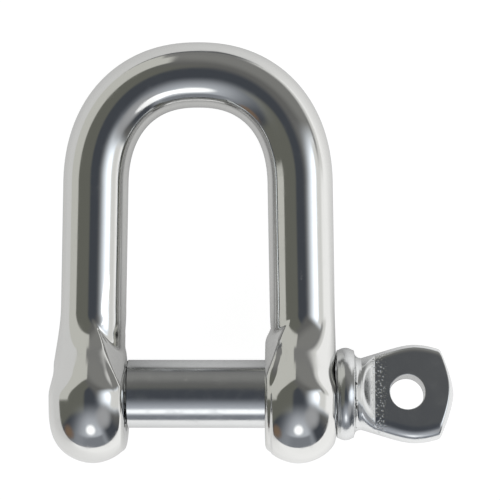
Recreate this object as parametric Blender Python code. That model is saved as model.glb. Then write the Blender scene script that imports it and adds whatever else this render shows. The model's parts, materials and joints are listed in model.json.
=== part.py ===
"""Dee shackle with a screw pin, 10 mm size, lying on a table as it rests.

The bow is one forging: round bar bent into a crown and two legs, each ending in an ear.
The pin is one turning: a threaded tip, a shank, a collar and a flattened eye.

Both pieces are drawn about the pin axis, with X along the pin towards the eye, Y up the
legs towards the crown and Z out of the bow's face. An empty then lays them down: the ears
are deeper than the bar, so the bow leans until its ears and its crown touch the table.
"""

import math

import bmesh
import bpy
from mathutils import Matrix, Vector

MM = 0.001

# Bow: the bar, its crown and its legs
BAR_DIAMETER = 9.6 * MM
CROWN_HALF_WIDTH = 15.05 * MM  # from the middle to the bar's centre line
CROWN_HEIGHT = 16.75 * MM  # from the top of the legs to the bar's centre line at the apex
CROWN_FULLNESS = 2.26  # exponent of the crown's curve: 2 is an ellipse, more is squarer
LEG_LENGTH = 30.2 * MM  # from the pin axis to the start of the crown

# Bow: the ears, and the jaw between them
JAW_WIDTH = 20.4 * MM  # clear width between the two pads
JAW_OFFSET = -0.3 * MM  # the ears sit this far along X from the middle of the legs
EAR_RADIUS = 10.2 * MM  # about the pin axis
EAR_WIDTH = 12.46 * MM  # along the pin axis, with its inner side still round
EAR_RIDGE_DEPTH = 4.9 * MM  # each ear's ridge lies this far behind its pad's face
LEG_OUTSET = 0.5 * MM  # each leg's middle lies this far outside its ear's ridge, at the pin axis
EAR_BLEND = 13.0 * MM  # the leg starts to swell into the ear this far above the pin axis
EAR_RAMP_ANGLE = math.radians(41)  # slope of the leg's front and back as they run out to the ear
EAR_RAMP_FROM = 3.0 * MM  # the ramps meet the ear's rim this far above the pin axis
EAR_RAMP_ROUNDING = 0.6 * MM  # reach of the rounding there
EAR_FILLET = 0.9 * MM  # reach of the hollow where the leg runs into the ramps
EAR_END_SQUARENESS = 4.0  # exponent of the ear's outline below the pin axis, on its way down
EAR_END_POINT = 0.6  # and on its way in: more draws the end to a finer point
PAD_DIAMETER = 17.2 * MM  # flat pad on the inner side of each ear
PAD_RISE = 11.0 * MM  # the pad is drawn out this far up the leg, from the pin axis
PAD_EDGE_RADIUS = 1.2 * MM
SEAT_CUT = 0.77 * MM  # depth faced off the plain ear, where the collar seats
HOLE_CHAMFER = 0.4 * MM  # at both mouths of the plain hole

# Pin: the parts in the ears
PIN_DIAMETER = 10.0 * MM
THREAD_DIAMETER = 8.9 * MM  # mean diameter of the thread, drawn as a plain cylinder
PIN_CLEARANCE = 0.3 * MM  # all round, in both ears
TOUCH_GAP = 0.3 * MM  # left between faces that seat on each other
TIP_RECESS = 0.6 * MM  # the tip lies this far inside the threaded ear
TIP_CHAMFER = 0.7 * MM
SHANK_CHAMFER = 0.5 * MM

# Pin: the collar, the neck and the eye, placed from the collar's outer face
COLLAR_DIAMETER = 13.6 * MM
COLLAR_THICKNESS = 2.4 * MM
COLLAR_EDGE_RADIUS = 0.9 * MM
NECK_DIAMETER = 11.0 * MM
NECK_FILLET = 0.9 * MM
EYE_FLARE_ANGLE = math.radians(15)  # slope of the eye's sides as they leave the neck
EYE_WIDTH = 14.5 * MM
EYE_WIDEST_AT = 8.5 * MM
EYE_SIDE_RADIUS = 12.7 * MM
EYE_SIDE_ROUNDING = 0.6 * MM  # reach of the rounding where the flare meets the round side
EYE_CORNER_AT = 12.6 * MM
EYE_LENGTH = 14.6 * MM
EYE_END_BOW = 1.5  # exponent of the curved end: 2 is a parabola, less is more pointed
EYE_THICKNESS = 5.8 * MM
EYE_TURN = math.radians(10)  # the tightened eye stands this far out of the bow's plane
EYE_HOLE_DIAMETER = 5.1 * MM
EYE_HOLE_AT = 7.75 * MM
SCOOP_AT = 1.0 * MM  # where the milled scoop leaves the neck
FLAT_AT = 3.0 * MM  # where the scoop meets the flat
SCOOP_RADIUS = 8.0 * MM

# Facets
SECTION_STEPS = 32
CROWN_STEPS = 30
LEG_STEPS = 4
BLEND_STEPS = 13
EAR_END_STEPS = 11
TURN_STEPS = 40
ARC_STEPS = 5
EYE_STEPS = 12
CUT_PAST = 2.0 * MM  # how far a cutter runs past what it cuts

# Sizes that follow
BAR_RADIUS = BAR_DIAMETER / 2
EAR_RIDGE = JAW_WIDTH / 2 + EAR_RIDGE_DEPTH
LEG_AT_PIN = EAR_RIDGE + LEG_OUTSET
CROWN_APEX = LEG_LENGTH + CROWN_HEIGHT
PAD_X = {-1: JAW_OFFSET - JAW_WIDTH / 2, 1: JAW_OFFSET + JAW_WIDTH / 2}
EAR_X = {-1: JAW_OFFSET - EAR_RIDGE, 1: JAW_OFFSET + EAR_RIDGE}
SEAT_X = EAR_X[1] + EAR_WIDTH / 2 - SEAT_CUT
THREADED_EAR_END = EAR_X[-1] - EAR_WIDTH / 2
THREAD_HOLE_RADIUS = THREAD_DIAMETER / 2 + PIN_CLEARANCE
PLAIN_HOLE_RADIUS = PIN_DIAMETER / 2 + PIN_CLEARANCE
TIP_X = THREADED_EAR_END + TIP_RECESS
SHANK_X = PAD_X[-1] + TOUCH_GAP
COLLAR_X = SEAT_X + TOUCH_GAP
COLLAR_FACE_X = COLLAR_X + COLLAR_THICKNESS
EYE_END_X = COLLAR_FACE_X + EYE_LENGTH
REST_LEAN = math.asin((EAR_RADIUS - BAR_RADIUS) / CROWN_APEX)


def smooth_step(t):
    t = min(max(t, 0.0), 1.0)
    return t * t * (3 - 2 * t)


def smooth_max(a, b, reach):
    """The larger of two sizes, with a hollow where they cross, as a fillet leaves."""
    near = max(reach - abs(a - b), 0.0) / reach
    return max(a, b) + near * near * reach / 4


def smooth_min(a, b, reach):
    """The smaller of two sizes, rounded off where they cross."""
    return -smooth_max(-a, -b, reach)


def signed_power(value, power):
    return math.copysign(abs(value) ** power, value)


def arc(centre, radius, start, end):
    """Points of an arc in a turned profile, with the angles in degrees."""
    points = []
    for i in range(ARC_STEPS + 1):
        angle = math.radians(start + (end - start) * i / ARC_STEPS)
        points.append((centre[0] + radius * math.cos(angle), centre[1] + radius * math.sin(angle)))
    return points


def arc_between(start, end, radius):
    """Points of the arc of this radius from start to end, hollow on its right-hand side."""
    start, end = Vector(start), Vector(end)
    half = (end - start) / 2
    rise = math.sqrt(radius * radius - half.length_squared)
    centre = start + half + Vector((-half.y, half.x)).normalized() * rise
    first = math.atan2(*reversed(start - centre))
    turn = 2 * math.asin(half.length / radius)
    points = []
    for i in range(ARC_STEPS + 1):
        angle = first + turn * i / ARC_STEPS
        points.append(tuple(centre + radius * Vector((math.cos(angle), math.sin(angle)))))
    return points


def new_object(name, bm):
    bmesh.ops.recalc_face_normals(bm, faces=bm.faces)
    mesh = bpy.data.meshes.new(name)
    bm.to_mesh(mesh)
    bm.free()
    obj = bpy.data.objects.new(name, mesh)
    bpy.context.collection.objects.link(obj)
    return obj


def helper(name, bm):
    """A solid that only cuts or joins another."""
    obj = new_object(name, bm)
    obj.hide_render = True
    obj.display_type = "WIRE"
    return obj


def loft(rings, start_pole, end_pole):
    """A closed skin over rings of equally many points, drawn to a point at each end."""
    bm = bmesh.new()
    loops = [[bm.verts.new(point) for point in ring] for ring in rings]
    count = len(loops[0])
    for before, after in zip(loops, loops[1:]):
        for i in range(count):
            j = (i + 1) % count
            bm.faces.new((before[i], before[j], after[j], after[i]))
    for loop, pole in ((loops[0], start_pole), (loops[-1], end_pole)):
        tip = bm.verts.new(pole)
        for i in range(count):
            bm.faces.new((loop[i], loop[(i + 1) % count], tip))
    return bm


def turned(profile):
    """A closed solid of revolution about X, from (x, radius) points that start and end on X."""
    bm = bmesh.new()
    points = [bm.verts.new((x, 0, radius)) for x, radius in profile]
    edges = [bm.edges.new(pair) for pair in zip(points, points[1:])]
    bmesh.ops.spin(
        bm, geom=points + edges, axis=(1, 0, 0), cent=(0, 0, 0),
        angle=2 * math.pi, steps=TURN_STEPS, use_merge=True,
    )
    bmesh.ops.remove_doubles(bm, verts=bm.verts, dist=1e-7)
    bmesh.ops.dissolve_degenerate(bm, edges=bm.edges, dist=1e-7)
    return bm


def boolean(obj, other, operation):
    modifier = obj.modifiers.new(other.name, "BOOLEAN")
    modifier.operation = operation
    modifier.solver = "EXACT"
    modifier.object = other


def polished_steel(name, colour, roughness):
    material = bpy.data.materials.new(name)
    material.use_nodes = True
    shader = material.node_tree.nodes["Principled BSDF"]
    shader.inputs["Base Color"].default_value = (*colour, 1)
    shader.inputs["Metallic"].default_value = 1
    shader.inputs["Roughness"].default_value = roughness
    return material


def spread(share, radius, reach):
    """One coordinate of a circle whose two halves are moved apart, or together, to this reach."""
    side = 0 if abs(share) < 1e-9 else math.copysign(1, share)
    return radius * share + (reach - radius) * side


def section(centre, outward, half_width, half_depth, inner):
    """A slot with round ends, across the centre line, made flat inside beyond the inner reach."""
    radius = min(half_width, half_depth)
    ring = []
    for i in range(SECTION_STEPS):
        angle = 2 * math.pi * i / SECTION_STEPS
        across = max(spread(math.cos(angle), radius, half_width), -inner)
        up = spread(math.sin(angle), radius, half_depth)
        ring.append(centre + outward * across + Vector((0, 0, up)))
    return ring


def ear_half_depth(y):
    """Half the depth of the leg and its ear, at height y above the pin axis."""
    rim = math.sqrt(max(EAR_RADIUS**2 - y**2, 0))
    ramp = EAR_RADIUS - (y - EAR_RAMP_FROM) * math.tan(EAR_RAMP_ANGLE)
    return smooth_max(BAR_RADIUS, smooth_min(rim, ramp, EAR_RAMP_ROUNDING), EAR_FILLET)


def leg_section(side, y):
    """The leg at height y above the pin axis, swelling outwards into its ear on the way down."""
    swell = smooth_step(1 - y / EAR_BLEND)
    leg_x = side * (LEG_AT_PIN + (CROWN_HALF_WIDTH - LEG_AT_PIN) * y / LEG_LENGTH)
    centre_x = leg_x + swell * (EAR_X[side] - side * LEG_AT_PIN)
    half_width = BAR_RADIUS + swell * (EAR_WIDTH / 2 - BAR_RADIUS)
    inner = side * (centre_x - leg_x) + BAR_RADIUS
    centre = Vector((centre_x, y, 0))
    return section(centre, Vector((side, 0, 0)), half_width, ear_half_depth(y), inner)


def ear_end_section(side, angle):
    """The ear below the pin axis, at this angle down its round rim."""
    drop = math.sin(angle)
    half_width = EAR_WIDTH / 2 * (1 - drop**EAR_END_SQUARENESS) ** EAR_END_POINT
    half_depth = EAR_RADIUS * math.cos(angle)
    inner = side * EAR_X[side] - LEG_AT_PIN + BAR_RADIUS
    centre = Vector((EAR_X[side], -EAR_RADIUS * drop, 0))
    return section(centre, Vector((side, 0, 0)), half_width, half_depth, inner)


def crown_section(angle):
    """The bar at this angle round the crown, from 0 at the right leg to pi at the left."""
    power = 2 / CROWN_FULLNESS
    across = signed_power(math.cos(angle), power)
    rise = math.sin(angle) ** power
    centre = Vector((CROWN_HALF_WIDTH * across, LEG_LENGTH + CROWN_HEIGHT * rise, 0))
    steepness = CROWN_FULLNESS - 1
    outward = Vector((
        signed_power(across, steepness) / CROWN_HALF_WIDTH,
        rise**steepness / CROWN_HEIGHT,
        0,
    ))
    return section(centre, outward.normalized(), BAR_RADIUS, BAR_RADIUS, BAR_RADIUS)


def half_bow_rings(side):
    """One ear and its leg, from the end of the ear up to the start of the crown."""
    rings = []
    for i in range(EAR_END_STEPS - 1, 0, -1):
        rings.append(ear_end_section(side, math.pi / 2 * i / EAR_END_STEPS))
    for i in range(BLEND_STEPS):
        rings.append(leg_section(side, EAR_BLEND * i / BLEND_STEPS))
    for i in range(LEG_STEPS + 1):
        rings.append(leg_section(side, EAR_BLEND + (LEG_LENGTH - EAR_BLEND) * i / LEG_STEPS))
    return rings


def pad(side):
    """The boss on the inner side of an ear, with a round edge: a circle, drawn out up the leg."""
    radius = PAD_DIAMETER / 2
    height = abs(EAR_X[side] - PAD_X[side])
    edge = arc((height - PAD_EDGE_RADIUS, radius - PAD_EDGE_RADIUS), PAD_EDGE_RADIUS, 90, 0)
    profile = [(0, 0), (0, radius), *edge, (height, 0)]
    bm = turned([(EAR_X[side] - side * x, r) for x, r in profile])
    for vert in bm.verts:
        if vert.co.y > 0:
            vert.co.y *= PAD_RISE / radius
    return bm


def drill(start, end, radius, mouth):
    """A hole's cutter along X, flared at 45 degrees to a wider mouth at each end."""
    flare = mouth - radius
    return turned([
        (start - CUT_PAST, 0),
        (start - CUT_PAST, mouth + CUT_PAST),
        (start + flare, radius),
        (end - flare, radius),
        (end + CUT_PAST, mouth + CUT_PAST),
        (end + CUT_PAST, 0),
    ])


def seat_facing():
    """The face cutter that leaves a flat on the plain ear, for the collar."""
    end = SEAT_X + SEAT_CUT + CUT_PAST
    radius = EAR_RADIUS + CUT_PAST
    return turned([(SEAT_X, 0), (SEAT_X, radius), (end, radius), (end, 0)])


def make_bow(steel):
    crown = [crown_section(math.pi * i / CROWN_STEPS) for i in range(CROWN_STEPS - 1, 0, -1)]
    rings = half_bow_rings(-1) + crown + half_bow_rings(1)[::-1]
    poles = [Vector((EAR_X[side], -EAR_RADIUS, 0)) for side in (-1, 1)]
    bow = new_object("bow", loft(rings, *poles))
    for side, name in ((-1, "threaded_ear_pad"), (1, "plain_ear_pad")):
        boolean(bow, helper(name, pad(side)), "UNION")
    boolean(bow, helper("collar_seat_facing", seat_facing()), "DIFFERENCE")
    thread_hole = drill(THREADED_EAR_END, PAD_X[-1], THREAD_HOLE_RADIUS, PLAIN_HOLE_RADIUS)
    boolean(bow, helper("thread_hole_drill", thread_hole), "DIFFERENCE")
    plain_mouth = PLAIN_HOLE_RADIUS + HOLE_CHAMFER
    plain_hole = drill(PAD_X[1], SEAT_X, PLAIN_HOLE_RADIUS, plain_mouth)
    boolean(bow, helper("plain_hole_drill", plain_hole), "DIFFERENCE")
    bow.data.materials.append(steel)
    return bow


def eye_half_width(along):
    """Half the eye's width, this far from the collar's outer face."""
    flare = NECK_DIAMETER / 2 + (along - NECK_FILLET) * math.tan(EYE_FLARE_ANGLE)
    drop = EYE_SIDE_RADIUS - math.sqrt(EYE_SIDE_RADIUS**2 - (along - EYE_WIDEST_AT) ** 2)
    return smooth_min(flare, EYE_WIDTH / 2 - drop, EYE_SIDE_ROUNDING)


def pin_profile():
    """The turned blank of the pin, from its tip to the end of its eye."""
    thread = THREAD_DIAMETER / 2
    shank = PIN_DIAMETER / 2
    collar = COLLAR_DIAMETER / 2
    neck = NECK_DIAMETER / 2
    edge = COLLAR_EDGE_RADIUS
    back_edge = collar - neck - NECK_FILLET
    profile = [
        (TIP_X, 0),
        (TIP_X, thread - TIP_CHAMFER),
        (TIP_X + TIP_CHAMFER, thread),
        (SHANK_X, thread),
        (SHANK_X, max(shank - SHANK_CHAMFER, thread)),
        (SHANK_X + SHANK_CHAMFER, shank),
        (COLLAR_X, shank),
    ]
    profile += arc((COLLAR_X + edge, collar - edge), edge, 180, 90)
    profile += arc((COLLAR_FACE_X - back_edge, collar - back_edge), back_edge, 90, 0)
    profile += arc((COLLAR_FACE_X + NECK_FILLET, neck + NECK_FILLET), NECK_FILLET, 180, 270)[1:]
    for i in range(1, EYE_STEPS + 1):
        along = NECK_FILLET + (EYE_CORNER_AT - NECK_FILLET) * i / EYE_STEPS
        profile.append((COLLAR_FACE_X + along, eye_half_width(along)))
    corner = eye_half_width(EYE_CORNER_AT)
    for i in range(ARC_STEPS - 1, -1, -1):
        share = i / ARC_STEPS
        bow = (EYE_LENGTH - EYE_CORNER_AT) * share**EYE_END_BOW
        profile.append((EYE_END_X - bow, corner * share))
    return profile


def turn_eye(bm):
    """Turns what is cut into the eye about the pin axis, to where the thread leaves it."""
    turn = Matrix.Rotation(-EYE_TURN, 3, "X")
    bmesh.ops.rotate(bm, verts=bm.verts, cent=(0, 0, 0), matrix=turn)
    return bm


def flat_cutter(side):
    """The milled scoop and flat on one side of the eye, as an outline pulled along Y."""
    half = EYE_THICKNESS / 2
    high = EYE_WIDTH / 2 + CUT_PAST
    far = EYE_END_X + CUT_PAST
    start = (COLLAR_FACE_X + SCOOP_AT, NECK_DIAMETER / 2)
    scoop = arc_between(start, (COLLAR_FACE_X + FLAT_AT, half), SCOOP_RADIUS)
    outline = [(start[0], high), *scoop, (far, half), (far, high)]
    bm = bmesh.new()
    verts = [bm.verts.new((x, -high, side * z)) for x, z in outline]
    face = bm.faces.new(verts)
    pulled = bmesh.ops.extrude_face_region(bm, geom=[face])
    moved = [v for v in pulled["geom"] if isinstance(v, bmesh.types.BMVert)]
    bmesh.ops.translate(bm, verts=moved, vec=(0, 2 * high, 0))
    return turn_eye(bm)


def eye_drill():
    bm = bmesh.new()
    bmesh.ops.create_cone(
        bm, cap_ends=True, segments=TURN_STEPS, depth=EYE_THICKNESS + 2 * CUT_PAST,
        radius1=EYE_HOLE_DIAMETER / 2, radius2=EYE_HOLE_DIAMETER / 2,
    )
    bmesh.ops.translate(bm, verts=bm.verts, vec=(COLLAR_FACE_X + EYE_HOLE_AT, 0, 0))
    return turn_eye(bm)


def make_pin(steel):
    pin = new_object("screw_pin", turned(pin_profile()))
    for side, name in ((1, "eye_front_cutter"), (-1, "eye_back_cutter")):
        boolean(pin, helper(name, flat_cutter(side)), "DIFFERENCE")
    boolean(pin, helper("eye_drill", eye_drill()), "DIFFERENCE")
    pin.data.materials.append(steel)
    return pin


def lay_down():
    """An empty on the pin axis, which leans the shackle and centres its box on the origin."""
    rest = bpy.data.objects.new("lying_on_table", None)
    bpy.context.collection.objects.link(rest)
    reach_y = CROWN_APEX * math.cos(REST_LEAN) + BAR_RADIUS
    rest.location = (
        -(THREADED_EAR_END + EYE_END_X) / 2,
        -(reach_y - EAR_RADIUS) / 2,
        EAR_RADIUS,
    )
    rest.rotation_euler = (-REST_LEAN, 0, 0)
    return rest


def main():
    for obj in list(bpy.data.objects):
        bpy.data.objects.remove(obj, do_unlink=True)
    make_bow(polished_steel("polished_bow_steel", (0.60, 0.60, 0.58), 0.08))
    make_pin(polished_steel("polished_pin_steel", (0.58, 0.58, 0.57), 0.10))
    rest = lay_down()
    for obj in bpy.data.objects:
        if obj is not rest:
            obj.parent = rest
            obj.data.shade_smooth()
            obj.data.set_sharp_from_angle(angle=math.radians(35))


main()
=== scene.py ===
# %% [markdown]
# # A polished dee shackle
# The object is two pieces of stainless steel: a bow, forged from round bar, and a screw pin,
# turned and milled. Both are mirror polished, so almost everything the eye sees is a reflection.
# That makes two jobs matter more than any texture: surfaces whose curvature is true and smooth,
# and a studio around them that is worth reflecting.
#
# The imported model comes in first, as the fixed frame that every piece is built on.

import json
import math

import bmesh
import bpy
import numpy as np
from mathutils import Matrix, Vector


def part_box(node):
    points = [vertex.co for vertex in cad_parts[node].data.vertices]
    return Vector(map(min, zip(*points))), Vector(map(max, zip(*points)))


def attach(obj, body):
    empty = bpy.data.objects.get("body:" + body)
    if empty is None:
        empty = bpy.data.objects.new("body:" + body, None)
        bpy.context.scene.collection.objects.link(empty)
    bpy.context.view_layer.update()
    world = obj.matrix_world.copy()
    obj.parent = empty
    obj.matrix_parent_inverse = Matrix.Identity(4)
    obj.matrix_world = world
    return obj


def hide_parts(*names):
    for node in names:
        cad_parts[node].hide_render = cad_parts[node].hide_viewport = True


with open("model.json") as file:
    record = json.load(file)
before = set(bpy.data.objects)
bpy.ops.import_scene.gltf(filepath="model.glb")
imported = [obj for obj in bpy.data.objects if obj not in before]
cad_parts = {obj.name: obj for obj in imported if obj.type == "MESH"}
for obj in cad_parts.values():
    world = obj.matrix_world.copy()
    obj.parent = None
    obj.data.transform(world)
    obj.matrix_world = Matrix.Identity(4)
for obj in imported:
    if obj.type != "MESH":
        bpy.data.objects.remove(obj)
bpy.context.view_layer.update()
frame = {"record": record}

# %% [markdown]
# ## Where things are
# The shackle lies on a table. Its ears are deeper than its bar, so it leans a little towards its
# crown. Modelling is easier in a frame that leans with it: X runs along the pin, Y up the legs, and
# Z out of the bow's face, with the pin's axis at Y = Z = 0. The places along X are the world's own.
# All of them are read from the frame: the boxes of the two nodes, and the flat faces in the record.
# A jaw face's point lies up the leg from the pin's axis, so it gives the lean. The eye's own face
# leans a little more, because the thread stopped the eye a few degrees out of the bow's plane.

# %% Read the places from the frame
MM = 0.001
bow_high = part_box("bow")[1]
pin_low, pin_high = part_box("screw_pin")
mounts = {mount["name"]: mount for mount in frame["record"]["mounts"]}
pin_axis = (pin_low + pin_high) / 2
up_leg = Vector(mounts["threaded_ear_jaw_face"]["pos_m"]) - pin_axis
lean = math.atan2(-up_leg.z, up_leg.y)
eye_normal = Vector(mounts["eye_front_face"]["axis"])
eye_turn = math.atan2(eye_normal.y, eye_normal.z) - lean
leaning = Matrix.Rotation(-lean, 4, "X")
at_rest = Matrix.Translation((0, pin_axis.y, pin_axis.z)) @ leaning
jaw_x = {
    -1: mounts["threaded_ear_jaw_face"]["pos_m"][0],
    1: mounts["plain_ear_jaw_face"]["pos_m"][0],
}
print(f"lean {math.degrees(lean):.2f} degrees, eye turned {math.degrees(eye_turn):.2f} degrees")
print(f"jaw {(jaw_x[1] - jaw_x[-1]) / MM:.2f} mm wide")

# %% [markdown]
# ## The camera
# The photograph looks straight at the bow's face through a long lens: both legs are nearly the same
# size, and the two jaw faces hardly show. The picture is 500 pixels square, so the focal length
# follows from the distance and the scale in pixels per millimetre.

# %% Set up the camera
PICTURE_PIXELS = 500
PIXELS_PER_MM = 6.80  # at the middle of the shackle
CAMERA_DISTANCE = 350 * MM
CAMERA_YAW = math.radians(1.0)  # to the right of the bow's normal
LOOK_AT = Vector((-0.3, 21.17, 0.22)) * MM  # in the leaning frame

camera_data = bpy.data.cameras.new("camera")
camera = bpy.data.objects.new("camera", camera_data)
bpy.context.scene.collection.objects.link(camera)
camera.matrix_world = (
    Matrix.Translation(at_rest @ LOOK_AT)
    @ leaning
    @ Matrix.Rotation(CAMERA_YAW, 4, "Y")
    @ Matrix.Translation((0, 0, CAMERA_DISTANCE))
)
view_width = PICTURE_PIXELS / PIXELS_PER_MM * MM
camera_data.lens = camera_data.sensor_width * CAMERA_DISTANCE / view_width
camera_data.clip_start = 10 * MM
bpy.context.scene.camera = camera
print(f"lens {camera_data.lens:.0f} mm")

# %% [markdown]
# ## Helpers for shaders
# Colours are picked as sRGB hex values, as any colour picker gives them, but a shader adds and
# multiplies light, so it wants linear values. One function turns one into the other, and one adds a
# node, sets it up and links it. A soft edge, which the studio and the table both need, is a distance
# along a direction, eased from 0 to 1.

# %% Colour and node helpers
def linear(hex_colour):
    """A hex colour as linear red, green, blue and alpha."""
    channels = [int(hex_colour[i : i + 2], 16) / 255 for i in (1, 3, 5)]
    return (*[c / 12.92 if c <= 0.04045 else ((c + 0.055) / 1.055) ** 2.4 for c in channels], 1)


def add(tree, kind, inputs=None, **settings):
    """Adds a node. inputs maps a socket's name or index to a value, or to the output to link to it."""
    node = tree.nodes.new(kind)
    for name, value in settings.items():
        setattr(node, name, value)
    for socket, value in (inputs or {}).items():
        if isinstance(value, bpy.types.NodeSocket):
            tree.links.new(value, node.inputs[socket])
        else:
            node.inputs[socket].default_value = value
    return node


def new_tree(owner):
    owner.use_nodes = True
    owner.node_tree.nodes.clear()
    return owner.node_tree


def soft_edge(tree, point, towards, start, end):
    """How far a point or direction has crossed an edge: 0 at start, and 1 at end, along towards."""
    along = add(tree, "ShaderNodeVectorMath", {0: point, 1: towards}, operation="DOT_PRODUCT")
    return add(
        tree, "ShaderNodeMapRange",
        {"Value": along.outputs["Value"], "From Min": start, "From Max": end},
        interpolation_type="SMOOTHSTEP",
    ).outputs["Result"]


# %% [markdown]
# ## The studio
# A mirror shows its surroundings, so the studio is part of the material. Above the bow is the dark
# camera side of the room. On the left an olive wall stands over a white card, on the right light
# swells up over bright low cards, in front it swells up to a softbox, and a grey room closes the back.
# They could be planes with lamps behind them, but planes would stand in the way of other views. So
# they are painted on the world by direction: each card is the region on the inner side of a few soft
# edges, and a wide soft edge is a glow. A later card lies over an earlier one. The directions are
# written in the leaning frame, as the bow meets them. The camera itself sees plain white.

# %% Paint the studio on the world
OVERHEAD = "#4c5057"
# Each card: its colour, its strength, and its edges as (direction, limit, softness)
CARDS = {
    "left_wall": ("#71726b", 1.0, [((-1, 0, 0), 0.26, 0.08), ((0, 1, 0), -0.45, 0.1)]),
    "far_wall": ("#71726b", 1.0, [((-0.75, 0.66, 0), 0.3, 0.08)]),
    "back_wall": ("#717170", 1.0, [((0.75, 0.66, 0), 0.25, 0.15)]),
    "back_room": ("#8e8e8c", 1.0, [((0.5, 0.87, 0), 0.62, 0.15)]),
    "left_card": ("#d8d8d2", 1.0, [
        ((0, 0.225, -1), -0.5, 0.04), ((-1, 0, 0), 0.17, 0.03), ((0, 1, 0), -0.1, 0.03),
    ]),
    "front_glow": ("#cdd2da", 1.0, [
        ((0, -1, 0), 0.5, 0.36), ((-1, 0, 0), -0.42, 0.15), ((1, 0, 0), -0.42, 0.4),
    ]),
    "right_glow": ("#ecf3fc", 2.1, [
        ((1, 0, 0), 0.46, 0.36), ((1, 0, 0), 0.46, 0.36),
        ((0.31, -0.95, 0), 0, 0.15), ((0, 1, 0), -0.25, 0.2),
    ]),
    "corner_glow": ("#f4f6fa", 0.5, [((0.54, -0.54, 0.64), 0.95, 0.045)]),
    "front_card": ("#8b8f96", 1.0, [
        ((0, -1, 0), 0.7, 0.1), ((0, 0, -1), -0.29, 0.05),
        ((-1, 0, 0), -0.4, 0.1), ((1, 0, 0), -0.42, 0.3),
    ]),
    "right_card": ("#f2f2f0", 1.0, [
        ((0, 0, -1), -0.53, 0.06), ((0.31, -0.95, 0), 0, 0.06), ((0.31, 0.95, 0), 0, 0.06),
    ]),
    "right_low_card": ("#ffffff", 1.2, [
        ((0, 0, -1), -0.2, 0.1), ((0.31, -0.95, 0), 0, 0.06), ((0.31, 0.95, 0), 0, 0.06),
    ]),
    "low_room": ("#8a8a89", 1.0, [
        ((0, 0, -1), -0.32, 0.05), ((1, 0, 0), -0.25, 0.03), ((0.34, 0.94, 0), 0.5, 0.1),
    ]),
    "far_right_glow": ("#f0f0ee", 1.0, [
        ((0, 0, -1), -0.2, 0.08), ((0.94, -0.34, 0), 0, 0.14), ((0, 1, 0), 0.1, 0.1),
    ]),
    "front_softbox": ("#fbfdff", 1.7, [((0, -0.857, 0.515), 0.9877, 0.01)]),
    "brown_card": ("#84705f", 1.0, [((-0.68, -0.72, 0.1), 0.98, 0.018)]),
}


def inside_edges(tree, direction, edges):
    """How far a direction lies inside all of these soft edges, from 0 to 1."""
    inside = 1.0
    for towards, limit, softness in edges:
        towards = leaning.to_3x3() @ Vector(towards)
        edge = soft_edge(tree, direction, towards, limit - softness, limit + softness)
        inside = add(tree, "ShaderNodeMath", {0: inside, 1: edge}, operation="MULTIPLY").outputs[0]
    return inside


world = bpy.data.worlds.new("studio")
bpy.context.scene.world = world
tree = new_tree(world)
direction = add(tree, "ShaderNodeTexCoord").outputs["Generated"]
seen = linear(OVERHEAD)
for colour, strength, edges in CARDS.values():
    card_colour = [channel * strength for channel in linear(colour)]
    mix = add(
        tree, "ShaderNodeMix",
        {"Factor": inside_edges(tree, direction, edges), 6: seen, 7: card_colour},
        data_type="RGBA",
    )
    seen = mix.outputs[2]
studio = add(tree, "ShaderNodeBackground", {"Color": seen})
backdrop = add(tree, "ShaderNodeBackground", {"Color": (1, 1, 1, 1)})
ray = add(tree, "ShaderNodeLightPath")
either = add(
    tree, "ShaderNodeMixShader",
    {0: ray.outputs["Is Camera Ray"], 1: studio.outputs[0], 2: backdrop.outputs[0]},
)
add(tree, "ShaderNodeOutputWorld", {"Surface": either.outputs[0]})
print("studio cards:", ", ".join(CARDS))

# %% [markdown]
# ## The table
# The shackle lies on a white sheet, which is why every polished edge that turns away from the camera
# is pale. The sheet glows for the camera and for reflections, which keeps it white whatever the lamps
# do, and a little of its light is true diffuse light, so the shackle still has a shadow. The lamps
# stand on the right and in front, so reflections find the sheet brighter there. They find it darker
# close to the steel, which takes its light. Behind the crown it ends at the room's floor, but on the
# right it goes on.

# %% Lay the white sheet
FLOOR_SIZE = 3.0
BACK_RIGHT, FRONT_RIGHT = (0.77, 0.64, 0), (0.87, -0.5, 0)
SHEET_END = 45 * MM  # this far to the back right
SHEET_GOES_ON = -35 * MM  # but not from here on to the front right
SHEET_EDGE = 15 * MM
TO_LAMPS = (0.85, -0.53, 0)
SHEET_SHADES = (0.80, 1.2)  # brightness in reflections, from the back left to the front right
SHEET_SHADE_REACH = 40 * MM
SHEET_SHADOW_REACH = 25 * MM
SHEET_WHITE = 0.93  # brightness to the camera, before its diffuse light
SHEET_MATT = "#a0a0a0"
ROOM_FLOOR = "#6f7072"

floor_mesh = bpy.data.meshes.new("floor")
bm = bmesh.new()
bmesh.ops.create_grid(bm, x_segments=1, y_segments=1, size=FLOOR_SIZE / 2)
bm.to_mesh(floor_mesh)
bm.free()
floor = bpy.data.objects.new("floor", floor_mesh)
bpy.context.scene.collection.objects.link(floor)

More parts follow.
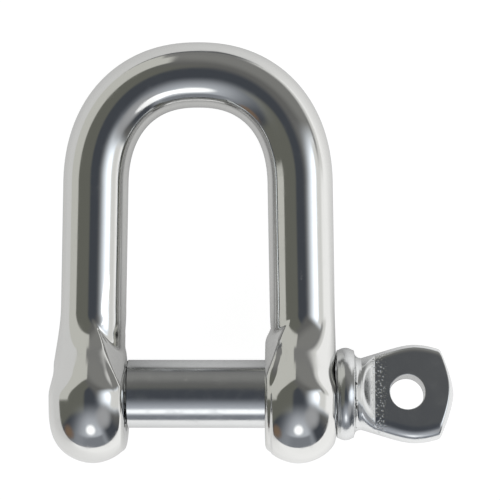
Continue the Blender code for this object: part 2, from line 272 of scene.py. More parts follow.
paper = bpy.data.materials.new("white_paper")
tree = new_tree(paper)
ray = add(tree, "ShaderNodeLightPath")
place = add(tree, "ShaderNodeTexCoord").outputs["Object"]
before_end = soft_edge(tree, place, BACK_RIGHT, SHEET_END + SHEET_EDGE, SHEET_END)
on_right = soft_edge(tree, place, FRONT_RIGHT, SHEET_GOES_ON - SHEET_EDGE, SHEET_GOES_ON)
on_sheet = add(tree, "ShaderNodeMath", {0: before_end, 1: on_right}, operation="MAXIMUM")
to_lamps = add(tree, "ShaderNodeVectorMath", {0: place, 1: TO_LAMPS}, operation="DOT_PRODUCT")
shade = add(
    tree, "ShaderNodeMapRange",
    {
        "Value": to_lamps.outputs["Value"],
        "From Min": -SHEET_SHADE_REACH, "From Max": SHEET_SHADE_REACH,
        "To Min": SHEET_SHADES[0], "To Max": SHEET_SHADES[1],
    },
)
open_sky = add(tree, "ShaderNodeAmbientOcclusion", {"Distance": SHEET_SHADOW_REACH}, samples=8)
room = add(tree, "ShaderNodeEmission", {"Color": linear(ROOM_FLOOR)})
sheet = add(
    tree, "ShaderNodeEmission", {"Color": open_sky.outputs["Color"], "Strength": shade.outputs[0]},
)
mirrored = add(
    tree, "ShaderNodeMixShader", {0: on_sheet.outputs[0], 1: room.outputs[0], 2: sheet.outputs[0]},
)
white = add(tree, "ShaderNodeEmission", {"Strength": SHEET_WHITE})
matt = add(tree, "ShaderNodeBsdfDiffuse", {"Color": linear(SHEET_MATT)})
lit = add(tree, "ShaderNodeAddShader", {0: white.outputs[0], 1: matt.outputs[0]})
glossy = add(
    tree, "ShaderNodeMath",
    {0: ray.outputs["Is Glossy Ray"], 1: ray.outputs["Is Transmission Ray"]}, operation="MAXIMUM",
)
unseen = add(
    tree, "ShaderNodeMixShader", {0: glossy.outputs[0], 1: matt.outputs[0], 2: mirrored.outputs[0]},
)
surface = add(
    tree, "ShaderNodeMixShader",
    {0: ray.outputs["Is Camera Ray"], 1: unseen.outputs[0], 2: lit.outputs[0]},
)
add(tree, "ShaderNodeOutputMaterial", {"Surface": surface.outputs[0]})
floor_mesh.materials.append(paper)
print(f"white sheet on a floor of {FLOOR_SIZE:.0f} m")

# %% [markdown]
# ## A lamp over the bow
# The crown's inner bend catches a light that the ears don't, so that light was close: a small soft
# lamp, held over the bow and facing the crown. An area lamp shines from one side only, so the ears
# and the pin, which are behind it, don't see it. A lamp's energy is its power: its brightness times
# its area times pi. It is kept to reflections, so it lays no second shadow on the sheet.

# %% Hang the lamp
LAMP_AT = Vector((-0.5, 14, 25)) * MM  # in the leaning frame
LAMP_TURN = math.radians(20)
LAMP_SIZE = (17 * MM, 17 * MM)
LAMP_BRIGHTNESS = 1.0  # in a mirror, where white is 1

lamp_data = bpy.data.lights.new("lamp", "AREA")
lamp_data.shape = "ELLIPSE"
lamp_data.size, lamp_data.size_y = LAMP_SIZE
lamp_area = math.pi / 4 * LAMP_SIZE[0] * LAMP_SIZE[1]
lamp_data.energy = LAMP_BRIGHTNESS * math.pi * lamp_area
lamp = bpy.data.objects.new("lamp", lamp_data)
bpy.context.scene.collection.objects.link(lamp)
lamp.matrix_world = (
    at_rest
    @ Matrix.Translation(LAMP_AT)
    @ Matrix.Rotation(LAMP_TURN, 4, "Z")
    @ Matrix.Rotation(math.pi / 2, 4, "X")
)
lamp.visible_camera = lamp.visible_diffuse = False
print(f"lamp {LAMP_SIZE[0] / MM:.0f} mm wide")

# %% [markdown]
# ## Rings
# Both pieces are long bodies whose section changes along the way: the bow from an ear to a round bar
# and back, the pin from a thread to a flattened eye. Booleans of plain solids would leave hard
# creases that need bevels, and bevels on crossing creases break. So each section is written as a
# reach: how far the surface lies from the middle, at each angle. Two shapes then join by taking the
# larger or the smaller reach, with a soft change where they cross, which is just what a forging or a
# polished edge looks like. Where no formula gives the reach, it is found by halving. The mesh itself
# is one circle of edges, extruded from section to section.

# %% Soft joins and sections
RING_POINTS = 200
FINE_POINTS = 1440
HALVINGS = 30
LEAST_FACING = 0.05  # a plane that faces an angle less than this hardly limits the reach there
HAIR = 1e-6  # lengths closer than this, in metres, are the same
TURN = np.linspace(0, 2 * np.pi, FINE_POINTS, endpoint=False)
ACROSS, UP = np.cos(TURN), np.sin(TURN)


def smooth_step(t):
    t = np.clip(t, 0, 1)
    return t * t * (3 - 2 * t)


def smooth_max(a, b, blend):
    near = np.maximum(blend - np.abs(a - b), 0) / blend
    return np.maximum(a, b) + near * near * blend / 4


def smooth_min(a, b, blend):
    return -smooth_max(-a, -b, blend)


def slot(half_width, half_depth):
    """The reach of a slot with round ends above and below, at each angle."""
    centre = np.maximum(half_depth - half_width, 0)
    side = half_width / np.maximum(np.abs(ACROSS), 1e-9)
    end = centre * np.abs(UP) + np.sqrt(np.maximum(half_width**2 - (centre * ACROSS) ** 2, 0))
    return np.where(side * np.abs(UP) < centre, side, end)


def ellipse(half_width, half_depth):
    return half_width * half_depth / np.hypot(half_width * UP, half_depth * ACROSS)


def plane(distance, facing):
    """The reach of a plane this far from the middle. facing is its normal's share at each angle."""
    return distance / np.maximum(facing, LEAST_FACING)


def farthest(is_inside, limit):
    """The largest reach up to a limit that is still inside a shape, at each angle."""
    low, high = np.zeros(FINE_POINTS), np.full(FINE_POINTS, limit)
    for _ in range(HALVINGS):
        reach = (low + high) / 2
        inside = is_inside(reach)
        low, high = np.where(inside, reach, low), np.where(inside, high, reach)
    return low


def even_ring(reach):
    """Points a steady distance apart round a section, as (across, up)."""
    points = np.column_stack((reach * ACROSS, reach * UP))
    closed = np.vstack((points, points[:1]))
    length = np.concatenate(([0], np.cumsum(np.linalg.norm(np.diff(closed, axis=0), axis=1))))
    steps = np.linspace(0, length[-1], RING_POINTS, endpoint=False)
    return np.column_stack([np.interp(steps, length, closed[:, i]) for i in (0, 1)])


def extrude_loop(bm, loop):
    """Extrudes a closed loop of vertices once, and returns the new loop in the same order."""
    edges = [bm.edges.get((a, b)) for a, b in zip(loop, loop[1:] + loop[:1])]
    made = set(bmesh.ops.extrude_edge_only(bm, edges=edges)["geom"])
    return [next(e.other_vert(v) for e in v.link_edges if e.other_vert(v) in made) for v in loop]


def sweep(rings, start, end):
    """A closed skin through rings of points, drawn to a point at each end."""
    bm = bmesh.new()
    first = bmesh.ops.create_circle(bm, segments=RING_POINTS, radius=1)["verts"]
    loop = first
    for i, ring in enumerate(rings):
        if i:
            loop = extrude_loop(bm, loop)
        for vert, point in zip(loop, ring):
            vert.co = point
    for edge_loop, tip in ((first, start), (loop, end)):
        bmesh.ops.pointmerge(bm, verts=extrude_loop(bm, edge_loop), merge_co=tip)
    return bm


def finish_mesh(bm, name, place):
    """Puts the shape in its place, turns its faces outwards and makes it an object."""
    bmesh.ops.transform(bm, matrix=place, verts=bm.verts)
    bmesh.ops.recalc_face_normals(bm, faces=bm.faces)
    mesh = bpy.data.meshes.new(name)
    bm.to_mesh(mesh)
    bm.free()
    obj = bpy.data.objects.new(name, mesh)
    bpy.context.scene.collection.objects.link(obj)
    return obj


# %% [markdown]
# ## Bow: bar, legs and ears
# The bow is round bar, bent. Its ears are forged out of the bar's ends: seen from the side the leg
# ramps up to the ear, and the ear's end is round. An ear's section is a slot with round ends, which
# turns into an ellipse up the ramp. Its inner side stays flush with the leg's, and there it has a pad,
# a low boss that is drawn out up the leg. A sloping cut, as a trimming die leaves it, takes off the
# shoulder between pad and ramp, and meets the ramp in a slanting crease. The plain ear is faced off
# outside, where the collar seats.

# %% Sizes of the bow
BAR_RADIUS = 4.8 * MM
CROWN_HALF_WIDTH = 15.05 * MM
CROWN_FULLNESS = 2.26  # exponent of the crown's curve
LEG_LENGTH = 30.2 * MM
LEG_SHIFT = 0.3 * MM  # the legs' middle lies this far from the jaw's, along X
LEG_OUTSET = 0.5 * MM  # each leg's middle lies this far outside its ear's ridge, at the pin axis
EAR_RADIUS = pin_axis.z
EAR_HALF_WIDTH = 6.23 * MM
EAR_RIDGE_DEPTH = 4.9 * MM  # each ear's ridge lies this far behind its pad's face
EAR_BLEND = 13.0 * MM
EAR_RAMP_ANGLE = math.radians(39)
EAR_RAMP_FROM = 2.7 * MM
EAR_RAMP_ROUNDING = 1.4 * MM
EAR_RAMP_SKEW = -0.3 * MM  # the ramp starts this much lower outside, and higher inside
EAR_FILLET = 2.2 * MM
EAR_NARROWS = 4.0 * MM  # up to this height the ear's section turns from a slot into an ellipse
EAR_END_SQUARENESS = 4.0
EAR_END_POINT = 0.6
EAR_INNER_EDGE = 0.4 * MM
PAD_RADIUS = 8.6 * MM
PAD_RISE = 9.6 * MM  # the pad is drawn out this far up the leg
PAD_EDGE_RADIUS = 1.2 * MM
PAD_ROOT = 2.0 * MM  # the boss starts this far behind the ridge, inside the ear
PAD_CREASE = 0.3 * MM
SHOULDER_NORMAL = (0.82, 0.48, 0.31)  # inwards, up the leg and forwards
SHOULDER_AT = {-1: 7.1 * MM, 1: 7.9 * MM}  # distance from the pin's axis, in each ear's ridge
SHOULDER_EDGE = 0.5 * MM
SHOULDER_TOP = 8.0 * MM  # above this height the cut runs out into the leg
SEAT_CUT = 0.77 * MM
SEAT_EDGE = 0.4 * MM

ear_x = {side: jaw_x[side] + side * EAR_RIDGE_DEPTH for side in (-1, 1)}
seat_x = ear_x[1] + EAR_HALF_WIDTH - SEAT_CUT
middle_x = (jaw_x[-1] + jaw_x[1]) / 2 + LEG_SHIFT
leg_at_pin = (ear_x[1] - ear_x[-1]) / 2 + LEG_OUTSET
crown_apex = (bow_high.y - pin_axis.y - BAR_RADIUS) / math.cos(lean)
crown_height = crown_apex - LEG_LENGTH
print(f"crown apex {crown_apex / MM:.2f} mm above the pin axis, seat at {seat_x / MM:.2f} mm")


# %% Sections of the bow
def ear_half_depth(y):
    """Half the depth of an ear and its leg, at each angle of the section at height y."""
    slope = math.tan(EAR_RAMP_ANGLE)
    round_to = min(y, EAR_RADIUS * math.sin(EAR_RAMP_ANGLE))
    rim = math.sqrt(EAR_RADIUS**2 - round_to**2) - (y - round_to) * slope
    ramp = EAR_RADIUS - (y - EAR_RAMP_SKEW * ACROSS - EAR_RAMP_FROM) * slope
    return smooth_max(BAR_RADIUS, smooth_min(rim, ramp, EAR_RAMP_ROUNDING), EAR_FILLET)


def pad_reach(side, y, centre_x):
    """How far the pad's turned boss lies from the section's middle, or 0 where it doesn't show."""
    flat_height, flat_radius = EAR_RIDGE_DEPTH - PAD_EDGE_RADIUS, PAD_RADIUS - PAD_EDGE_RADIUS
    height = y * PAD_RADIUS / PAD_RISE if y > 0 else y

    def in_boss(reach):
        along = side * (ear_x[side] - centre_x) - reach * ACROSS
        past_flat = np.clip(along - flat_height, 0, PAD_EDGE_RADIUS)
        radius = flat_radius + np.sqrt(PAD_EDGE_RADIUS**2 - past_flat**2)
        level = (along >= -PAD_ROOT) & (along <= EAR_RIDGE_DEPTH)
        return level & (height**2 + (reach * UP) ** 2 <= radius**2)

    return farthest(in_boss, 2 * EAR_RADIUS)


def shoulder_reach(side, y, centre_x):
    """How far the sloping cut across an ear's inner shoulder lies from the section's middle."""
    inwards, upwards, forwards = SHOULDER_NORMAL
    outset = side * (centre_x - ear_x[side])
    distance = SHOULDER_AT[side] - upwards * y + inwards * outset
    return plane(distance, forwards * np.abs(UP) - inwards * ACROSS)


def bar_reach(offset):
    """How far the round bar lies from a middle that is this far inside the bar's own."""
    return offset * ACROSS + np.sqrt(BAR_RADIUS**2 - (offset * UP) ** 2)


def ear_ring(side, y, half_width, centre_x, half_depth, inner):
    """One section of a leg and its ear, at height y, as points in space."""
    narrow = smooth_step(y / EAR_NARROWS)
    reach = (1 - narrow) * slot(half_width, half_depth) + narrow * ellipse(half_width, half_depth)
    spare = half_width - inner
    if spare > HAIR:
        reach = smooth_min(reach, plane(inner, -ACROSS), min(EAR_INNER_EDGE, spare))
    if -PAD_RADIUS < y < PAD_RISE:
        reach = smooth_max(reach, pad_reach(side, y, centre_x), PAD_CREASE)
    if 0 < y < EAR_BLEND:
        run_out = SHOULDER_EDGE * smooth_step((y - SHOULDER_TOP) / (EAR_BLEND - SHOULDER_TOP))
        bar = bar_reach(BAR_RADIUS - inner) + run_out
        cut_to = smooth_max(shoulder_reach(side, y, centre_x), bar, PAD_CREASE)
        reach = smooth_min(reach, cut_to, SHOULDER_EDGE)
    if side == 1:
        reach = smooth_min(reach, plane(seat_x - centre_x, ACROSS), SEAT_EDGE)
    across, up = even_ring(reach).T
    return np.column_stack((centre_x + side * across, np.full(RING_POINTS, y), up))


def leg_ring(side, y):
    """A section above the pin's axis, where the leg swells into its ear."""
    swell = smooth_step(1 - y / EAR_BLEND)
    leg_x = middle_x + side * (leg_at_pin + (CROWN_HALF_WIDTH - leg_at_pin) * y / LEG_LENGTH)
    centre_x = leg_x + swell * (ear_x[side] - middle_x - side * leg_at_pin)
    half_width = BAR_RADIUS + swell * (EAR_HALF_WIDTH - BAR_RADIUS)
    inner = side * (centre_x - leg_x) + BAR_RADIUS
    return ear_ring(side, y, half_width, centre_x, ear_half_depth(y), inner)


def ear_end_ring(side, angle):
    """A section of the ear's round end, from 0 at the pin's axis to a quarter turn at the tip."""
    drop = math.sin(angle)
    half_width = EAR_HALF_WIDTH * (1 - drop**EAR_END_SQUARENESS) ** EAR_END_POINT
    inner = side * (ear_x[side] - middle_x) - leg_at_pin + BAR_RADIUS
    half_depth = EAR_RADIUS * math.cos(angle)
    return ear_ring(side, -EAR_RADIUS * drop, half_width, ear_x[side], half_depth, inner)


def crown_ring(angle):
    """The bar round the crown, from 0 at the right leg to pi at the left."""
    power = 2 / CROWN_FULLNESS
    across = math.copysign(abs(math.cos(angle)) ** power, math.cos(angle))
    rise = math.sin(angle) ** power
    centre = np.array((middle_x + CROWN_HALF_WIDTH * across, LEG_LENGTH + crown_height * rise, 0))
    steep = CROWN_FULLNESS - 1
    outward = np.array((
        math.copysign(abs(across) ** steep, across) / CROWN_HALF_WIDTH, rise**steep / crown_height, 0,
    ))
    outward /= np.linalg.norm(outward)
    ring = even_ring(ellipse(BAR_RADIUS, BAR_RADIUS))
    return centre + np.outer(ring[:, 0], outward) + np.outer(ring[:, 1], (0, 0, 1))


# %% Extrude the bow
EAR_END_STEPS = 60
RAMP_STEPS = 65
LEG_STEPS = 18
CROWN_STEPS = 70


def half_bow(side):
    end_angles = [math.pi / 2 * i / EAR_END_STEPS for i in range(EAR_END_STEPS - 1, 0, -1)]
    rings = [ear_end_ring(side, angle) for angle in end_angles]
    rings += [leg_ring(side, y) for y in np.linspace(0, EAR_BLEND, RAMP_STEPS, endpoint=False)]
    rings += [leg_ring(side, y) for y in np.linspace(EAR_BLEND, LEG_LENGTH, LEG_STEPS + 1)]
    return rings


crown = [crown_ring(math.pi * i / CROWN_STEPS) for i in range(CROWN_STEPS - 1, 0, -1)]
bow_rings = half_bow(-1) + crown + half_bow(1)[::-1]
ear_tips = [Vector((ear_x[side], -EAR_RADIUS, 0)) for side in (-1, 1)]
bow = finish_mesh(sweep(bow_rings, *ear_tips), "polished_bow", at_rest)
print(f"bow: {len(bow_rings)} sections, {len(bow.data.polygons)} faces")

# %% [markdown]
# ## Holes
# The left ear is tapped and the right ear is drilled clear. A hole is cut by a turned cutter whose
# mouths flare, as a countersink does. The tapped hole's cutter carries the thread: a ridge that winds
# round once for every pitch. The pin only slides in this model, so both threads keep clear of each
# other.

# %% Turned cutters and threads
PIN_RADIUS = 5.0 * MM
THREAD_PITCH = 1.5 * MM
THREAD_CREST_FLAT, THREAD_ROOT_FLAT = 0.15, 0.25  # shares of the pitch
TAPPED_RADIUS = {"crest": 5.25 * MM, "root": 4.75 * MM}
PLAIN_HOLE_RADIUS = 5.3 * MM
HOLE_CHAMFER = 0.4 * MM
CUT_PAST = 2.0 * MM
TURN_STEPS = 96
MERGE = 1e-7  # metres


def thread_share(x, angle):
    """Where a point lies on the thread: 0 in the root, 1 on the crest, right handed about X."""
    across = np.abs(2 * ((x / THREAD_PITCH - angle / (2 * np.pi)) % 1) - 1)
    return np.clip((across - THREAD_ROOT_FLAT) / (1 - THREAD_ROOT_FLAT - THREAD_CREST_FLAT), 0, 1)


def turned(profile):
    """A solid of revolution about X, from (x, radius) points that start and end on the axis."""
    bm = bmesh.new()
    points = [bm.verts.new((x, 0, radius)) for x, radius in profile]
    edges = [bm.edges.new(pair) for pair in zip(points, points[1:])]
    bmesh.ops.spin(
        bm, geom=points + edges, axis=(1, 0, 0), cent=(0, 0, 0),
        angle=2 * math.pi, steps=TURN_STEPS, use_merge=True,
    )
    bmesh.ops.remove_doubles(bm, verts=bm.verts, dist=MERGE)
    bmesh.ops.dissolve_degenerate(bm, edges=bm.edges, dist=MERGE)
    return bm


def cut(piece, bm, place):
    """Cuts a shape out of a piece for good."""
    cutter = finish_mesh(bm, "cutter", place)
    modifier = piece.modifiers.new("cut", "BOOLEAN")
    modifier.solver = "MANIFOLD"
    modifier.object = cutter
    evaluated = piece.evaluated_get(bpy.context.evaluated_depsgraph_get())
    before = piece.data
    piece.data = bpy.data.meshes.new_from_object(evaluated)
    piece.modifiers.clear()
    bpy.data.meshes.remove(before)
    bpy.data.objects.remove(cutter)


def drill(start, end, radius, mouth, steps=1):
    """Profile of a drill along X, which flares to the radius of its mouths at both ends."""
    flare = mouth - radius
    return [
        (start - CUT_PAST, 0),
        (start - CUT_PAST, mouth + CUT_PAST),
        *[(x, radius) for x in np.linspace(start + flare, end - flare, steps + 1)],
        (end + CUT_PAST, mouth + CUT_PAST),
        (end + CUT_PAST, 0),
    ]


# %% Cut both holes
TAP_STEPS = 90
tap_root = TAPPED_RADIUS["root"]
ridge = TAPPED_RADIUS["crest"] - tap_root
tap_start = ear_x[-1] - EAR_HALF_WIDTH
tap = turned(drill(tap_start, jaw_x[-1], tap_root, PLAIN_HOLE_RADIUS, TAP_STEPS))
for vert in tap.verts:
    radius = math.hypot(vert.co.y, vert.co.z)
    if abs(radius - tap_root) < HAIR:
        grown = 1 + ridge / radius * thread_share(vert.co.x, math.atan2(vert.co.z, vert.co.y))
        vert.co.yz = vert.co.y * grown, vert.co.z * grown
cut(bow, tap, at_rest)
plain_hole = drill(jaw_x[1], seat_x, PLAIN_HOLE_RADIUS, PLAIN_HOLE_RADIUS + HOLE_CHAMFER)
cut(bow, turned(plain_hole), at_rest)
print(f"bow with holes: {len(bow.data.polygons)} faces")

# %% [markdown]
# ## Screw pin
# The pin starts as a turning: tip, thread, shank, collar, neck and a bulb that will be the eye. Two
# flats are then milled across the bulb, each with a round scoop where the cutter came in, and the eye
# is drilled. On the turning each section is a circle; the flats cut its reach short above and below.
# The pin is built with its eye flat and then turned about its axis, to where the thread left it.

# %% Sizes of the pin
THREAD_RADIUS = {"crest": 4.62 * MM, "root": 3.95 * MM}
TOUCH_GAP = 0.12 * MM  # between the shank's end and the tapped ear
TIP_CHAMFER = 0.7 * MM
SHANK_CHAMFER = 0.15 * MM
COLLAR_RADIUS = 6.8 * MM
COLLAR_THICKNESS = 2.62 * MM
COLLAR_BULGE = 0.3 * MM  # its rim is this much lower at its sides
COLLAR_EDGE = 0.35 * MM
SEATED_GAP = 0.08 * MM  # between the collar and the plain ear
NECK_RADIUS = 5.3 * MM
NECK_FILLET = 0.9 * MM
EYE_FLARE_ANGLE = math.radians(17)
EYE_HALF_WIDTH = 7.25 * MM
EYE_WIDEST_AT = 8.5 * MM
EYE_SIDE_RADIUS = 12.7 * MM
EYE_SIDE_ROUNDING = 0.6 * MM
EYE_CORNER_AT = 12.6 * MM
EYE_CORNER_ROUNDING = 0.5 * MM
EYE_END_BOW = 1.5  # exponent of the curved end
EYE_HALF_THICKNESS = 2.9 * MM
EYE_HOLE_RADIUS = 2.55 * MM
EYE_HOLE_AT = 7.75 * MM
EYE_HOLE_EDGE = 0.12 * MM
SCOOP_AT = 1.0 * MM
FLAT_AT = 3.0 * MM
SCOOP_RADIUS = 8.0 * MM
SCOOP_END_BLEND = 0.25 * MM
FLAT_EDGE = {"upper": 0.6 * MM, "lower": 1.5 * MM}  # the lower edges are buffed rounder

tip_x = pin_low.x
shank_x = jaw_x[-1] + TOUCH_GAP
collar_x = seat_x + SEATED_GAP
face_x = collar_x + COLLAR_THICKNESS
eye_length = pin_high.x - face_x
pin_place = at_rest @ Matrix.Rotation(-eye_turn, 4, "X")
print(f"collar {collar_x / MM:.2f} mm, eye {eye_length / MM:.2f} mm long")


# %% Profile of the turning
TIP_RINGS = 4
THREAD_STEPS = 84
SHANK_STEPS = 24
RIM_POINTS = 21
EYE_STEP = 0.1 * MM
CORNER_REACH = 0.3 * MM  # the side's points stop this far before the corner
END_SHARES = np.linspace(1.12, 0.03, 40)  # from before the corner, which is 1, to near the tip


def arc(centre, radius, start, end, steps=8):
    angles = np.radians(np.linspace(start, end, steps + 1))
    return [(centre[0] + radius * math.cos(a), centre[1] + radius * math.sin(a)) for a in angles]


def stretch(start, end, radius, steps):
    return [(x, radius) for x in np.linspace(start, end, steps + 1)]


def eye_side(along):
    """Radius of the bulb's side, this far from the collar's outer face."""
    slope = math.tan(EYE_FLARE_ANGLE)
    flare = NECK_RADIUS + (along - NECK_FILLET) * slope
    round_from = max(along, EYE_WIDEST_AT - EYE_SIDE_RADIUS * math.sin(EYE_FLARE_ANGLE))
    drop = EYE_SIDE_RADIUS - math.sqrt(EYE_SIDE_RADIUS**2 - (round_from - EYE_WIDEST_AT) ** 2)
    side = EYE_HALF_WIDTH - drop - (round_from - along) * slope
    return float(smooth_min(flare, side, EYE_SIDE_ROUNDING))


def eye_radius(along):
    """Radius of the bulb, where its bowed end cuts its side short."""
    to_end = max(eye_length - along, 0) / (eye_length - EYE_CORNER_AT)
    end = eye_side(EYE_CORNER_AT) * to_end ** (1 / EYE_END_BOW)
    return float(smooth_min(eye_side(along), end, EYE_CORNER_ROUNDING))


crest = THREAD_RADIUS["crest"]
rim = COLLAR_RADIUS - COLLAR_BULGE
back_edge = rim - NECK_RADIUS - NECK_FILLET
profile = [(tip_x, i / TIP_RINGS * (crest - TIP_CHAMFER)) for i in range(1, TIP_RINGS + 1)]
profile += stretch(tip_x + TIP_CHAMFER, shank_x - HAIR, crest, THREAD_STEPS)
profile += [(shank_x, PIN_RADIUS - SHANK_CHAMFER), (shank_x + SHANK_CHAMFER, PIN_RADIUS)]
profile += stretch(shank_x + 2 * SHANK_CHAMFER, collar_x, PIN_RADIUS, SHANK_STEPS)
profile += arc((collar_x + COLLAR_EDGE, rim - COLLAR_EDGE), COLLAR_EDGE, 180, 110)
rim_start, rim_end = collar_x + COLLAR_EDGE, face_x - back_edge
for share in np.linspace(-1, 1, RIM_POINTS):
    x = (rim_start + rim_end) / 2 + (rim_end - rim_start) / 2 * share
    profile.append((x, COLLAR_RADIUS - COLLAR_BULGE * share**2))
profile += arc((face_x - back_edge, rim - back_edge), back_edge, 70, 0)
profile += arc((face_x + NECK_FILLET, NECK_RADIUS + NECK_FILLET), NECK_FILLET, 180, 270)[1:]
eye_along = [
    *np.arange(NECK_FILLET + EYE_STEP, EYE_CORNER_AT - CORNER_REACH, EYE_STEP),
    *(eye_length - (eye_length - EYE_CORNER_AT) * END_SHARES**EYE_END_BOW),
]
profile += [(face_x + along, eye_radius(along)) for along in eye_along]
print(f"pin profile: {len(profile)} points")


# %% Flats, thread and sections of the pin
def scoop_centre():
    """Centre of the milled scoop's arc, through its two ends."""
    start, end = Vector((SCOOP_AT, NECK_RADIUS)), Vector((FLAT_AT, EYE_HALF_THICKNESS))
    half = (end - start) / 2
    rise = math.sqrt(SCOOP_RADIUS**2 - half.length_squared)
    return start + half + Vector((-half.y, half.x)).normalized() * rise


SCOOP = scoop_centre()


def flat_height(along):
    """Height of the milled surface above the pin's axis, this far from the collar's outer face."""
    across = SCOOP.x - along
    if across >= SCOOP_RADIUS:
        return 2 * COLLAR_RADIUS
    scoop = SCOOP.y - math.sqrt(SCOOP_RADIUS**2 - across**2) if along < FLAT_AT else 0
    return float(smooth_max(scoop, EYE_HALF_THICKNESS, SCOOP_END_BLEND))


def flattened(radius, half_height):
    """The reach of a circle between two flats, with rounded edges."""
    lower, upper = FLAT_EDGE["lower"], FLAT_EDGE["upper"]
    edge = lower + (upper - lower) * smooth_step((ACROSS + 1) / 2)

    def between_flats(reach):
        return smooth_max(reach - radius, reach * np.abs(UP) - half_height, edge) < 0

    return farthest(between_flats, radius)


def pin_ring(x, radius):
    """One section of the pin, as points in space: threaded, round or flattened."""
    reach = np.full(FINE_POINTS, radius)
    if x < shank_x:
        limit = min(radius, crest - max(TIP_CHAMFER - (x - tip_x), 0))
        root = THREAD_RADIUS["root"]
        reach = np.minimum(limit, root + (crest - root) * thread_share(x, TURN))
    if x > face_x:
        reach = flattened(radius, flat_height(x - face_x))
    across, up = even_ring(reach).T
    return np.column_stack((np.full(RING_POINTS, x), across, up))


pin_rings = [pin_ring(x, radius) for x, radius in profile]
pin_tips = [Vector((x, 0, 0)) for x in (tip_x, pin_high.x)]
pin = finish_mesh(sweep(pin_rings, *pin_tips), "polished_screw_pin", pin_place)
print(f"pin: {len(pin_rings)} sections, {len(pin.data.polygons)} faces")

# %% Drill the eye
mouth = [
    (EYE_HALF_THICKNESS - across, EYE_HOLE_RADIUS + EYE_HOLE_EDGE - height)
    for across, height in arc((EYE_HOLE_EDGE, 0), EYE_HOLE_EDGE, 90, 165, 6)
]
far = EYE_HALF_THICKNESS + CUT_PAST
half_drill = [*mouth, (far, mouth[-1][1]), (far, 0)]
eye_drill = turned([(-x, radius) for x, radius in reversed(half_drill)] + half_drill)
upright = Matrix.Translation((face_x + EYE_HOLE_AT, 0, 0)) @ Matrix.Rotation(math.pi / 2, 4, "Y")
cut(pin, eye_drill, pin_place @ upright)
print(f"pin with its eye: {len(pin.data.polygons)} faces")

# %% [markdown]
# ## Polished stainless steel
# Austenitic stainless, ground and buffed to a mirror. A conductor has no diffuse colour: its base
# colour is the tint of its reflections, a light grey. Buffing by hand leaves three things: a slow
# waviness of a few millimetres that makes straight reflections wander, fine scuffs that blur them in
# patches, and a few pits that the wheel didn't reach. The pin is buffed less than the bow. Its milled
# flat keeps a strip of chatter marks beside the scoop, and polishing paste has dried to dark crumbs
# in the corner behind its collar. The chatter is coarser than a real cutter's, so that it shows.

# %% Steel
WAVE_LENGTH, WAVE_DEPTH = 7 * MM, 0.02 * MM
SCUFF_SIZE = 2.2 * MM
SCUFF_BLUR = 0.12  # roughness that the heaviest scuffs add
PITS = {"spacing": 5 * MM, "width": 0.07, "depth": 0.04 * MM, "share": 0.6}
CHATTER = {"spacing": 0.32 * MM, "width": 0.5, "depth": 0.05 * MM}
CHATTER_FADE = 1.0 * MM
CRUMB_SIZE = 1.1 * MM
CRUMB_COLOUR = "#3b3936"
CRUMB_FADE = 0.1 * MM


def between(tree, value, start, end, softness):
    """1 where a value lies between two places, and 0 well past them."""
    middle, half = (start + end) / 2, (end - start) / 2
    off = add(tree, "ShaderNodeMath", {0: value, 1: middle}, operation="SUBTRACT")
    away = add(tree, "ShaderNodeMath", {0: off.outputs[0]}, operation="ABSOLUTE")
    return add(
        tree, "ShaderNodeMapRange",
        {"Value": away.outputs[0], "From Min": half + softness, "From Max": half},
        interpolation_type="SMOOTHSTEP",
    ).outputs[0]


def dents(tree, place, normal, spacing, width, depth, share):
    """A normal with small round dents. width is a share of their spacing, share how strong they are."""
    cells = add(tree, "ShaderNodeTexVoronoi", {"Vector": place, "Scale": 1 / spacing})
    height = add(
        tree, "ShaderNodeMapRange",
        {"Value": cells.outputs["Distance"], "From Min": 0.0, "From Max": width},
        interpolation_type="SMOOTHSTEP",
    )
    return add(
        tree, "ShaderNodeBump",
        {"Height": height.outputs[0], "Distance": depth, "Strength": share, "Normal": normal},
    ).outputs[0]


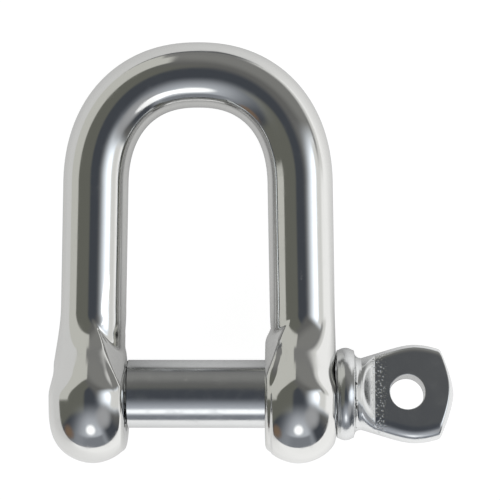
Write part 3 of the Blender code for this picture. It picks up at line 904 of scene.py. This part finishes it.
def polished_steel(name, tint, roughness, chatter=None, residue=None):
    """Buffed steel. chatter and residue are the stretches along X, as (start, end), that have them."""
    material = bpy.data.materials.new(name)
    tree = new_tree(material)
    place = add(tree, "ShaderNodeTexCoord").outputs["Object"]
    along_x = add(tree, "ShaderNodeSeparateXYZ", {0: place}).outputs["X"]
    wave = add(tree, "ShaderNodeTexNoise", {"Vector": place, "Scale": 1 / WAVE_LENGTH, "Detail": 1.0})
    scuff = add(
        tree, "ShaderNodeTexNoise",
        {"Vector": place, "Scale": 1 / SCUFF_SIZE, "Detail": 5.0, "Roughness": 0.65},
    )
    blur = add(
        tree, "ShaderNodeMapRange",
        {
            "Value": scuff.outputs["Fac"], "From Min": 0.45, "From Max": 0.75,
            "To Min": roughness, "To Max": roughness + SCUFF_BLUR,
        },
    )
    waviness = add(
        tree, "ShaderNodeBump",
        {"Height": wave.outputs["Fac"], "Distance": WAVE_DEPTH, "Strength": 1.0},
    )
    normal = dents(tree, place, waviness.outputs[0], **PITS)
    shader = add(
        tree, "ShaderNodeBsdfPrincipled",
        {"Base Color": linear(tint), "Metallic": 1.0, "Roughness": blur.outputs[0]},
    )
    if chatter:
        marked = between(tree, along_x, *chatter, CHATTER_FADE)
        normal = dents(tree, place, normal, **CHATTER, share=marked)
    if residue:
        crumbs = add(
            tree, "ShaderNodeTexNoise", {"Vector": place, "Scale": 1 / CRUMB_SIZE, "Detail": 2.0},
        )
        thick = add(
            tree, "ShaderNodeMapRange",
            {"Value": crumbs.outputs["Fac"], "From Min": 0.58, "From Max": 0.63},
        )
        left = between(tree, along_x, *residue, CRUMB_FADE)
        dirty = add(tree, "ShaderNodeMath", {0: thick.outputs[0], 1: left}, operation="MULTIPLY")
        colour = add(
            tree, "ShaderNodeMix",
            {"Factor": dirty.outputs[0], 6: linear(tint), 7: linear(CRUMB_COLOUR)}, data_type="RGBA",
        )
        tree.links.new(colour.outputs[2], shader.inputs["Base Color"])
    tree.links.new(normal, shader.inputs["Normal"])
    add(tree, "ShaderNodeOutputMaterial", {"Surface": shader.outputs[0]})
    return material


flat_start = face_x + FLAT_AT
bow.data.materials.clear()
bow.data.materials.append(polished_steel("buffed_bow_steel", "#d6d6d4", 0.07))
pin.data.materials.clear()
pin.data.materials.append(polished_steel(
    "buffed_pin_steel", "#d4d5d5", 0.16,
    chatter=(flat_start + 0.2 * MM, flat_start + 1.0 * MM), residue=(face_x, face_x + 0.3 * MM),
))
print("finishes:", bow.data.materials[0].name, pin.data.materials[0].name)

# %% [markdown]
# ## Onto the bodies
# Each piece is shaded smooth, rides on its body and stands for its node.

# %% Shade, ride and replace
SHARP = math.radians(35)
for piece, body, node, slot_name in (
    (bow, "bow", "bow", "bow_steel"), (pin, "pin", "screw_pin", "pin_steel"),
):
    piece.data.shade_smooth()
    piece.data.set_sharp_from_angle(angle=SHARP)
    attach(piece, body)
    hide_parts(node)

bpy.context.scene.view_settings.view_transform = "Standard"
